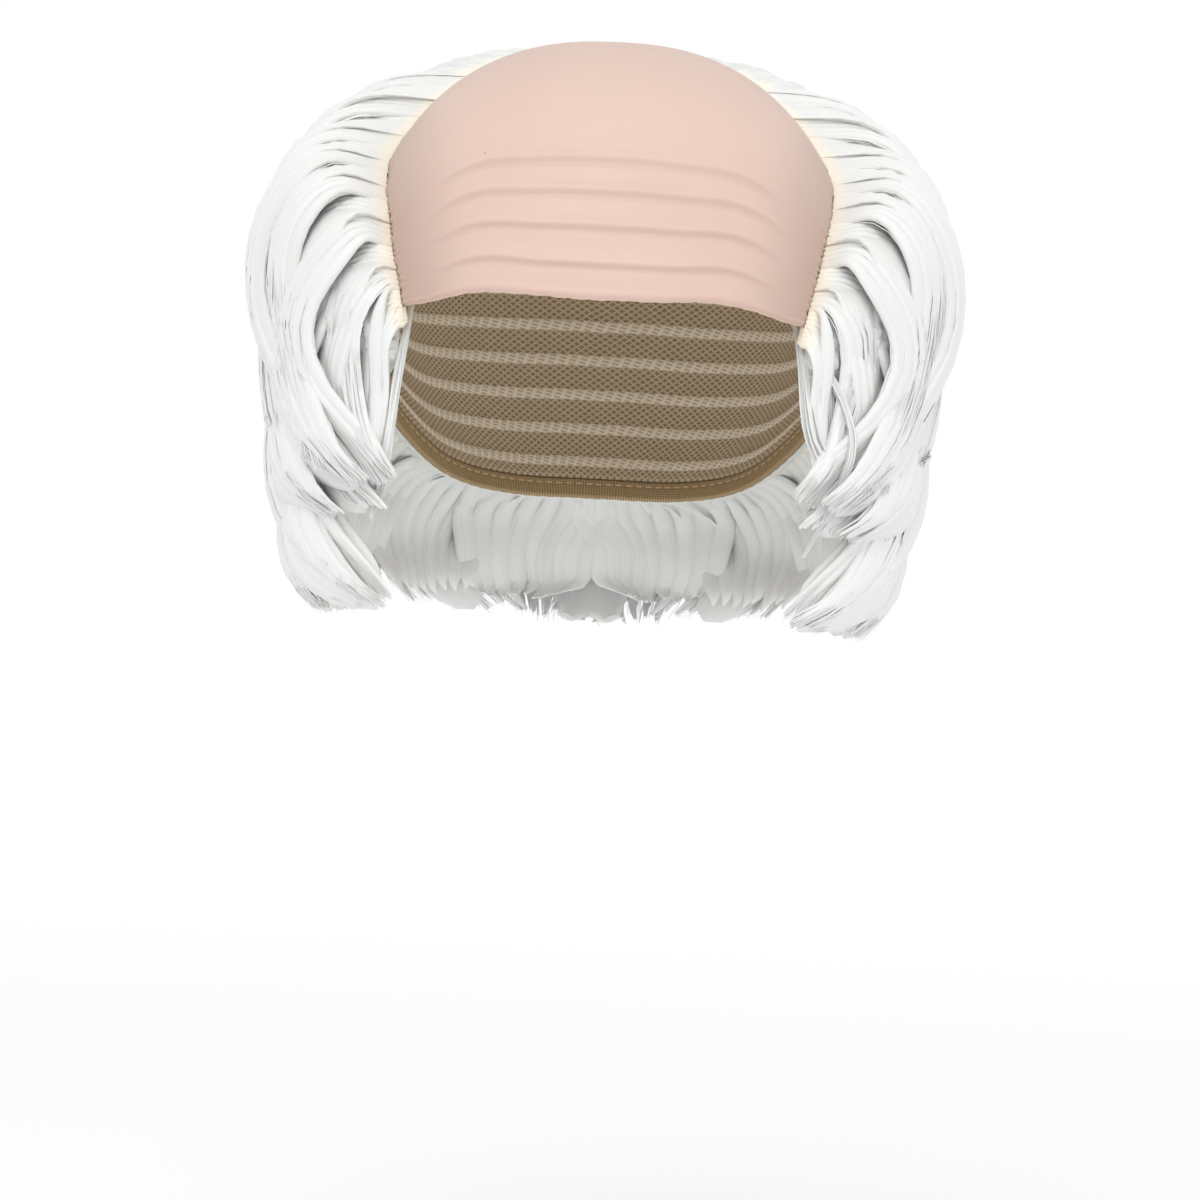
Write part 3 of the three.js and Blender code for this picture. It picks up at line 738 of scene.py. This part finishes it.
# Tiers of locks: how far down the cap their roots lie, how high they rise first and when they curl
layers = {
    "upper": dict(locks=upperLocks, down=0.0, spread=0.0, rise=10.5, lift=1.7, late=0, first=0.008),
    "middle": dict(locks=middleLocks, down=0.28, spread=0.06, rise=8.0, lift=6.0, late=1, first=0.1),
    "lower": dict(locks=lowerLocks, down=0.55, spread=0.06, rise=8.0, lift=6.0, late=1, first=0.14),
    "nape": dict(locks=napeLocks, down=0.97, spread=0.015, rise=0.0, lift=2.6, late=1, first=0.2),
}
hair = {
    "seed": 11,
    "counts": {"upper": (280, 860), "middle": (40, 60), "lower": (200, 420), "nape": (30, 60)},
    "backShare": 0.45,
    "bend": 0.45,  # share of the way at which a hair reaches its widest place
    "roundness": 0.9,
    "hook": 0.8,
    "bunches": 9,  # across each lock
    "bunchLuck": 0.28,
    "ownLuck": 0.25,
    "heightLuck": 0.02,
    "rootLuck": 0.5,
    "loose": 0.4,
    "wave": 3.5,
    "waves": 1.5,
    "least": 1.6,  # mm that a hair stays off the cap's inner form near its root, and further on
    "clear": 4.6,
    "rootOffset": 1.2,
    "gather": 0.6,
    "fullness": 0.95,
    "rootFullness": 0.2,
    "taper": 0.35,
    "draw": 0.3,
    "flatness": 0.42,
    "domeRise": 0.08,
    "besideStep": 0.15,  # of a lock's half width, to the place that a hair's neighbour has
    "white": (0.79, 0.797, 0.785, 1),
    "grey": (0.7, 0.71, 0.695, 1),
    "cream": (0.92, 0.84, 0.66, 1),
    "roughness": 0.55,
}
columns = ("at", "fall", "turn", "reach", "belly", "tip", "curl", "sway", "width")


def planRadius(azimuth):
    n = head["squareness"]
    x = np.abs(np.sin(azimuth) / head["halfWidth"]) ** n
    y = np.abs(np.cos(azimuth) / head["halfLength"]) ** n
    return (x + y) ** (-1 / n)


# Shares of a hair's way from its root, closer together over its bend
def hairSteps(steps):
    even = np.linspace(0, 1, steps)
    return mix(even, even**1.5, 0.7)


def lockFullness(t):
    return np.minimum(1, 3 * t + hair["rootFullness"]) * (1 - hair["taper"] * smooth((t - 0.6) / 0.4))


def nearestLock(layer, at):
    lockAt = np.array([row["at"] for row in layer["locks"]])
    nearest = np.abs(at[:, None] - lockAt).argmin(1)
    return lockAt, nearest, np.gradient(lockAt)[nearest]


# Where hairs of one side run. Each hair has its root's place along the seam (at) and its place in its lock's
# section (across, away), from -1 to 1. Hairs of one bunch share some luck, so that they run together.
# together and own say how much of both kinds of luck they have.
def hairPaths(layer, at, across, away, steps, rng, side, together=1, own=1):
    table = {key: np.array([row[key] for row in layer["locks"]], float) for key in columns}
    _, nearest, _ = nearestLock(layer, at)
    t = hairSteps(steps)[None, :]
    pull = hair["gather"] * smooth(t / 0.5)
    free = {key: np.interp(at, table["at"], table[key])[:, None] for key in columns}
    lock = {key: table[key][nearest][:, None] for key in columns}
    now = {key: mix(free[key], lock[key], pull) for key in columns}
    bunch = np.clip(((across + 1) / 2 * hair["bunches"]).astype(int), 0, hair["bunches"] - 1)
    shared = np.random.default_rng([hair["seed"], len(layer["locks"]), side + 1])
    bunchLuck = shared.normal(0, together, (len(layer["locks"]), hair["bunches"], 5))[nearest, bunch]
    ownLuck = rng.normal(0, 1, (len(at), 5)) * own
    luck = (bunchLuck * hair["bunchLuck"] + ownLuck * hair["ownLuck"])[:, None, :]
    bunchMiddle = (bunch + 0.5) / hair["bunches"] * 2 - 1
    place = mix(across[:, None], bunchMiddle[:, None], hair["draw"] * smooth(t / 0.7))

    down = np.clip(layer["down"] + layer["spread"] * ownLuck[:, 0], 0, 1)
    offset = -(hair["rootOffset"] + hair["rootLuck"] * ownLuck[:, 1].clip(-1.5, 1.5)) * mm
    direction = capDirection(0.5 * at, down, offset, sewn["gap"])
    root = onHead(direction, np.full(len(at), layer["lift"] * mm))[:, None]
    rootAzimuth = np.arctan2(root[..., 0], -root[..., 1])
    rootOut = (np.hypot(root[..., 0], root[..., 1]) - planRadius(rootAzimuth)) / mm
    belly = -now["belly"] * head["crownRise"] * (1 + hair["heightLuck"] * luck[..., 0])
    tip = -now["tip"] * head["crownRise"] * (1 + hair["heightLuck"] * luck[..., 1])
    rising = layer["rise"] * mm * smooth((at[:, None] + 0.08) / 0.4)  # less at the front
    top = np.maximum(root[..., 2], belly) + rising * (1 + hair["domeRise"] * away[:, None])
    over = np.clip(t / hair["bend"], 0, 1) * (np.pi / 2)
    fall = np.clip((t - hair["bend"]) / (1 - hair["bend"]), 0, 1)
    sink = mix(fall, np.sin(fall * np.pi / 2), hair["hook"])
    turned = smooth((t - 0.4) / 0.6) ** 1.3

    phase = hair["waves"] * 2 * np.pi * t + 0.4 * place + 0.3 * luck[..., 2]
    wave = np.sign(lock["sway"]) * np.sin(phase) * smooth((t - 0.12) / 0.5)
    halfWidth = now["width"] / 2 * lockFullness(t) * hair["fullness"]
    radius = head["halfLength"] / mm
    azimuth = mix(rootAzimuth, np.radians(now["fall"]), smooth(t / 0.65))
    azimuth = azimuth + np.radians(now["turn"]) * turned
    azimuth = azimuth + (wave * np.abs(now["sway"]) + place * halfWidth * smooth(t / 0.3)) / radius
    out = mix(rootOut, now["reach"], np.sin(over) ** hair["roundness"])
    out = out - now["curl"] * smooth(fall) * fall ** layer["late"]
    out = out + wave * hair["wave"] + hair["loose"] * luck[..., 3] * smooth(t / 0.4)
    out = out + away[:, None] * halfWidth * hair["flatness"] * smooth(t / 0.5)
    rise = (root[..., 2] - top) * (1 - smooth(t / 0.2))
    height = np.where(t < hair["bend"], mix(belly, top, np.cos(over)) + rise, mix(belly, tip, sink))
    radial = planRadius(azimuth) + out * mm
    points = np.stack([radial * np.sin(azimuth), -radial * np.cos(azimuth), height], -1)
    points = clearOfCap(points, root)
    for _ in range(3):
        points[:, 1:-1] = points[:, 1:-1] / 2 + (points[:, :-2] + points[:, 2:]) / 4
    points[..., 0] *= side
    return points


# The way from each hair to its neighbour in the same lock, without luck. share is how far out of the lock's
# middle the hair lies.
def sheetOf(layer, at, across, share, steps, rng, side):
    _, _, gap = nearestLock(layer, at)
    step = hair["besideStep"] * np.where(across < 0, -1, 1)
    inward = across - step
    outer = share * np.sqrt(1 - across**2)
    here = hairPaths(layer, at, across, outer, steps, rng, side, 0, 0)
    outer = share * np.sqrt(1 - inward**2)
    beside = hairPaths(layer, at - 0.5 * step * gap, inward, outer, steps, rng, side, 0, 0)
    return (here - beside) * (np.sign(step) * side)[:, None, None]


# Keeps hairs out of the cap, apart from their roots
def clearOfCap(points, root):
    reach = np.linalg.norm(points - root, axis=-1) / mm
    lift = np.clip(hair["least"] + reach * 0.35, hair["least"], hair["clear"])
    floor = onHead(directionOf(points), lift * mm)
    centre = np.array([0, 0, -head["crownRise"]])
    inside = np.linalg.norm(points - centre, axis=-1) < np.linalg.norm(floor - centre, axis=-1)
    inside[:, 0] = False
    return np.where(inside[..., None], floor, points)


regions = {
    "hair_right": {"sides": (1,), "from": 0.0, "to": 0.69},
    "hair_left": {"sides": (-1,), "from": 0.0, "to": 0.69},
    "hair_back": {"sides": (1, -1), "from": 0.69, "to": 1.0},
}


# Hairs and strands grow thinner over their last quarter
def toTip(t, loss):
    return 1 - loss * smooth((t - 0.75) / 0.25)


# Fine hair combed over the strands of each lock: flat tresses, and single hairs among them
combed = {
    "tresses": {"steps": 16, "wide": 0.8, "thick": 0.2, "sizes": (0.6, 1.3)},
    "hairs": {"steps": 14, "wide": 0.16, "thick": 0.16, "sizes": (0.7, 1.3)},
    "stray": 0.18,
    "edge": 0.98,
    "shares": (0.86, 1.04),  # how far out in the lock's section they lie
    "root": 0.35,
}


def makeCombed(node, material, rng, layerName, perSide, kind):
    region, layer, look = regions[node], layers[layerName], combed[kind]
    tracks, sheets = [], []
    for side in region["sides"]:
        at = rng.uniform(max(region["from"], layer["first"]), region["to"], perSide)
        lockAt, nearest, gap = nearestLock(layer, at)
        across = 2 * (at - lockAt[nearest]) / gap + rng.normal(0, combed["stray"], perSide)
        across = across.clip(-combed["edge"], combed["edge"])
        share = rng.uniform(*combed["shares"], perSide)
        away = np.sqrt(1 - across**2) * share
        tracks.append(hairPaths(layer, at, across, away, look["steps"], rng, side))
        sheets.append(sheetOf(layer, at, across, share, look["steps"], rng, side))
    paths, sheet = np.concatenate(tracks), np.concatenate(sheets)
    t = hairSteps(look["steps"])[None, :, None]
    shape = 1 - 0.6 * t**4 if kind == "hairs" else np.minimum(1, combed["root"] + 4 * t) * toTip(t, 0.85)
    size = rng.uniform(*look["sizes"], (len(paths), 1, 1)) * shape * mm
    tone = rng.uniform(0, 1, len(paths))
    name = "_".join([node, layerName, kind])
    piece = hairMesh(name, hairSection, paths, sheet, size * look["wide"], size * look["thick"], tone)
    dress(piece, "hair", material, node)


# The core of each lock, which closes it below its strands
core = {"steps": 22, "wide": 0.86, "thick": 0.7, "rootThick": 0.3}


def makeCores(node, material, rng):
    region, steps = regions[node], core["steps"]
    t = hairSteps(steps)[None, :, None]
    for layerName in ("upper", "middle", "lower"):
        layer = layers[layerName]
        rows = [row for row in layer["locks"] if region["from"] <= row["at"] < region["to"]]
        at = np.array([row["at"] for row in rows])
        calm = np.zeros(len(rows))
        paths = [hairPaths(layer, at, calm, calm, steps, rng, side, 0, 0) for side in region["sides"]]
        paths = np.concatenate(paths)
        half = np.tile([row["width"] / 2 * mm for row in rows], len(region["sides"]))[:, None, None]
        half = half * hair["fullness"] * lockFullness(t) * np.minimum(1, 6 * (1.02 - t)) ** 0.5
        wide = half * core["wide"]
        thick = (half * hair["flatness"] * smooth(t / 0.25) + core["rootThick"] * mm) * core["thick"]
        tone = rng.uniform(0.3, 0.7, len(paths))
        name = "_".join([node, layerName, "cores"])
        piece = hairMesh(name, coreSection, paths, levelAt(paths), wide, thick, tone)
        dress(piece, "hair", material, node)


# The strands of each lock, one to a bunch, which make the body of the hair
strand = {
    "steps": 20,
    "overlap": 1.7,  # times half the room that each has at its root
    "rootThick": 1.5,
    "wide": 0.29,  # of the lock's half width
    "depth": 0.5,
    "edgeBulge": 0.15,
    "middleBulge": 0.45,
    "last": 0.995,  # the back's middle, which no strand crosses
}


def makeStrands(node, material, rng):
    region, steps = regions[node], strand["steps"]
    t = hairSteps(steps)[None, :, None]
    sides = region["sides"]
    middles = (np.arange(hair["bunches"]) + 0.5) / hair["bunches"] * 2 - 1
    for layerName, layer in layers.items():
        lockAt = np.array([row["at"] for row in layer["locks"]])
        width = np.array([row["width"] for row in layer["locks"]])
        here = (lockAt >= region["from"]) & (lockAt < region["to"])
        at = (lockAt[:, None] + 0.5 * np.gradient(lockAt)[:, None] * middles)[here].ravel()
        at = at.clip(0, strand["last"])
        across = np.tile(middles, here.sum())
        dome = np.sqrt(1 - across**2)
        away = strand["depth"] * dome
        paths = [hairPaths(layer, at, across, away, steps, rng, side, 1, 0) for side in sides]
        sheet = [sheetOf(layer, at, across, strand["depth"], steps, rng, side) for side in sides]
        paths, sheet = np.concatenate(paths), np.concatenate(sheet)
        room = np.linalg.norm(sheet[: len(at), :1], axis=-1)[..., None]
        apart = room / hair["besideStep"] / hair["bunches"]
        half = np.repeat(width[here] / 2 * mm * hair["fullness"], hair["bunches"])[:, None, None]
        ends = lockFullness(t) * toTip(t, 0.8)
        wide = mix(strand["overlap"] * apart, strand["wide"] * half * ends, smooth((t - 0.15) / 0.3))
        bulge = mix(strand["edgeBulge"], strand["middleBulge"], dome)[:, None, None] * hair["flatness"]
        thick = mix(strand["rootThick"] * mm, half * bulge * ends, smooth(t / 0.25))
        wide, thick = np.tile(wide, (len(sides), 1, 1)), np.tile(thick, (len(sides), 1, 1))
        tone = rng.uniform(0.2, 0.9, len(paths))
        name = "_".join([node, layerName, "strands"])
        piece = hairMesh(name, strandSection, paths, sheet, wide, thick, tone)
        dress(piece, "hair", material, node)


# Thin locks that hang free at the front, as rows of places in millimetres from the crown seat
freeLocks = {
    "hair_right": {
        "ring": [
            {"x": 58, "y": -62, "z": -84},
            {"x": 62, "y": -67, "z": -100},
            {"x": 63, "y": -69, "z": -117},
            {"x": 67, "y": -68, "z": -130},
            {"x": 79, "y": -61, "z": -135},
            {"x": 92, "y": -46, "z": -132},
            {"x": 104, "y": -22, "z": -124},
        ],
        "wisp": [
            {"x": 57, "y": -63, "z": -86},
            {"x": 68, "y": -65, "z": -99},
            {"x": 77, "y": -64, "z": -113},
            {"x": 79, "y": -64, "z": -125},
            {"x": 75, "y": -67, "z": -137},
            {"x": 69, "y": -69, "z": -148},
            {"x": 64, "y": -70, "z": -158},
        ],
    },
    "hair_left": {
        "wisp": [
            {"x": -58, "y": -63, "z": -86},
            {"x": -61, "y": -67, "z": -105},
            {"x": -63, "y": -69, "z": -125},
            {"x": -64, "y": -69, "z": -142},
            {"x": -67, "y": -66, "z": -153},
        ],
    },
}
freeLock = {
    "hairs": 70,
    "steps": 18,
    "rounds": 6,  # of smoothing along the way
    "radius": {"ring": 2.6, "wisp": 1.6},
    "wide": 0.4,
    "flatness": 0.6,
    "sizes": (0.5, 1.4),
}


def makeFreeLocks(node, material, rng):
    for kind, rows in freeLocks.get(node, {}).items():
        places = np.array([[row["x"], row["y"], row["z"]] for row in rows]) * mm
        knots = np.linspace(0, 1, len(places))
        even = np.linspace(0, 1, freeLock["steps"])
        line = np.stack([np.interp(even, knots, places[:, k]) for k in range(3)], -1)
        for _ in range(freeLock["rounds"]):
            line[1:-1] = line[1:-1] / 2 + (line[:-2] + line[2:]) / 4
        tangent = unitOf(np.gradient(line, axis=0))
        outward = unitOf(line * (1, 1, 0))
        across = unitOf(np.cross(outward, tangent))
        angle = rng.uniform(0, 2 * np.pi, (freeLock["hairs"], 1, 1))
        far = np.sqrt(rng.uniform(0, 1, angle.shape)) * freeLock["radius"][kind] * mm
        slack = 0.55 + 0.45 * np.cos(even * 7 + rng.uniform(0, 6, angle.shape[:2]))[..., None]
        spread = (0.5 + 0.5 * np.sin(even * np.pi))[None, :, None] * slack
        paths = line + (across * np.cos(angle) + outward * np.sin(angle)) * far * spread
        wide = rng.uniform(*freeLock["sizes"], angle.shape) * freeLock["wide"] * mm
        wide = wide * (1 - 0.6 * even[None, :, None] ** 3)
        thick = wide * freeLock["flatness"]
        tone = rng.uniform(0, 1, len(paths))
        piece = hairMesh("_".join([node, kind]), hairSection, paths, levelAt(paths), wide, thick, tone)
        dress(piece, "hair", material, node)


# The mass of hair close to the cap, seen between the locks
under = {"columns": 300, "rows": 40, "below": 2.2, "lift": 1.95, "folds": 420, "tone": 0.3, "map": (60, 150)}
underDepth = [
    {"down": 0, "thick": 2.5},
    {"down": 0.05, "thick": 8.5},
    {"down": 0.12, "thick": 15},
    {"down": 0.3, "thick": 23},
    {"down": 0.5, "thick": 24},
    {"down": 0.75, "thick": 17},
    {"down": 0.93, "thick": 6.5},
    {"down": 1, "thick": 1},
]
underFullness = [
    {"along": 0, "share": 0.2},
    {"along": 0.1, "share": 0.4},
    {"along": 0.25, "share": 0.88},
    {"along": 0.5, "share": 1.05},
    {"along": 1, "share": 1},
]


def makeUnder(material):
    def place(along, down, outer):
        direction = capDirection(along, down, -under["below"] * mm, sewn["gap"])
        fullness = readTable(underFullness, "along", "share", 1 - np.abs(1 - 2 * along))
        thick = fullness * readTable(underDepth, "down", "thick", down)
        fold = along * under["folds"] + 5 * np.sin(down * 7 + along * 40)
        fibres = 0.7 * np.sin(fold) + 0.5 * np.sin(fold * 2.7 + 1)
        lift = under["lift"] + outer * (thick + fibres * smooth(thick / 8))
        return onHead(direction, lift * mm)

    piece = closedSheet("hair_under", under["columns"], under["rows"], place, under["map"])
    addAttribute(piece.data, "tone", np.full(len(piece.data.vertices), under["tone"]))
    dress(piece, "hair", material, "hair_back")


def hairMaterial():
    sheen = {"Specular IOR Level": 0.4, "Sheen Weight": 0.2, "Sheen Roughness": 0.5}
    material, tree, shader = newMaterial("hair", sheen)
    uv, (_, along, _) = readPlace(tree)
    tone = addNode(tree, "ShaderNodeAttribute", attribute_name="tone").outputs["Fac"]
    fibres = useGroup(tree, fibreGroup, Place=uv, Lines=34.0, Stretch=0.02)
    light = mathOf(tree, "MULTIPLY", mathOf(tree, "ADD", fibres["Bands"], tone), 0.5)
    colour = blend(tree, light, hair["grey"], hair["white"])
    root = ramp(tree, along, 1.0, 6.5, 0.65, 0.0)
    colour = blend(tree, root, colour, hair["cream"])
    roughness = ramp(tree, fibres["Lines"], 0.3, 0.7, hair["roughness"] - 0.08, hair["roughness"] + 0.12)
    tree.links.new(roughness, shader.inputs["Roughness"])
    paint(tree, shader, colour, fibres["Lines"], 0.08, 0.3 * mm)
    return material


def makeHair():
    rng = np.random.default_rng(hair["seed"])
    material = hairMaterial()
    makeUnder(material)
    for node in regions:
        share = hair["backShare"] if node == "hair_back" else 1.0
        for layerName, (tresses, hairs) in hair["counts"].items():
            makeCombed(node, material, rng, layerName, int(tresses * share), "tresses")
            makeCombed(node, material, rng, layerName, int(hairs * share), "hairs")
        makeCores(node, material, rng)
        makeStrands(node, material, rng)
        makeFreeLocks(node, material, rng)
        print(node, "done")


# Floor, light and camera
studio = {"radius": 14, "height": -0.42, "fadeFrom": 0.35, "fadeTo": 2.2, "aim": -0.08}
pale = (0.9, 0.9, 0.9, 1)
black = (0, 0, 0, 1)
white = (1, 1, 1, 1)


def makeFloor():
    bm = bmesh.new()
    bmesh.ops.create_circle(bm, cap_ends=True, segments=128, radius=studio["radius"])
    mesh = bpy.data.meshes.new("floor")
    bm.to_mesh(mesh)
    bm.free()
    floor = addPiece("floor", mesh)
    floor.location.z = studio["height"]
    matt = {"Specular IOR Level": 0, "Roughness": 1, "Emission Strength": 1}
    material, tree, shader = newMaterial("floor", matt)
    place = addNode(tree, "ShaderNodeTexCoord").outputs["Object"]
    far = addNode(tree, "ShaderNodeVectorMath", {0: place}, operation="LENGTH").outputs["Value"]
    share = ramp(tree, far, studio["fadeFrom"], studio["fadeTo"])
    tree.links.new(blend(tree, share, pale, black), shader.inputs["Base Color"])
    tree.links.new(blend(tree, share, black, white), shader.inputs["Emission Color"])
    mesh.materials.append(material)


def makeLight(name, place, size, power):
    data = bpy.data.lights.new(name, "AREA")
    data.shape = "DISK"
    data.size = size
    data.energy = power
    light = bpy.data.objects.new(name, data)
    light.location = place
    aim = Vector((0, 0, studio["aim"])) - light.location
    light.rotation_euler = aim.to_track_quat("-Z", "Y").to_euler()
    bpy.context.scene.collection.objects.link(light)


def makeStudio():
    world = bpy.data.worlds.new("studio")
    world.use_nodes = True
    world.node_tree.nodes["Background"].inputs["Color"].default_value = white
    bpy.context.scene.world = world
    bpy.context.scene.view_settings.view_transform = "Standard"
    makeLight("key", place=(-0.25, -1.5, 1.15), size=1.0, power=10)
    makeLight("fill", place=(0.9, -1.5, 0.2), size=0.9, power=2)
    makeFloor()


view = {"distance": 1.5, "facePlane": -0.085, "wide": 0.36, "height": -0.174, "aside": 0.0035, "roll": 3}


def makeCamera():
    data = bpy.data.cameras.new("camera")
    data.lens = data.sensor_width * view["distance"] / view["wide"]
    camera = bpy.data.objects.new("camera", data)
    camera.location = (view["aside"], view["facePlane"] - view["distance"], view["height"])
    camera.rotation_euler = (math.radians(90), -math.radians(view["roll"]), 0)
    bpy.context.scene.collection.objects.link(camera)
    bpy.context.scene.camera = camera


makeCamera()
makeStudio()
makePate()
makeBand()
makeNet()
makeHem()
makeHair()
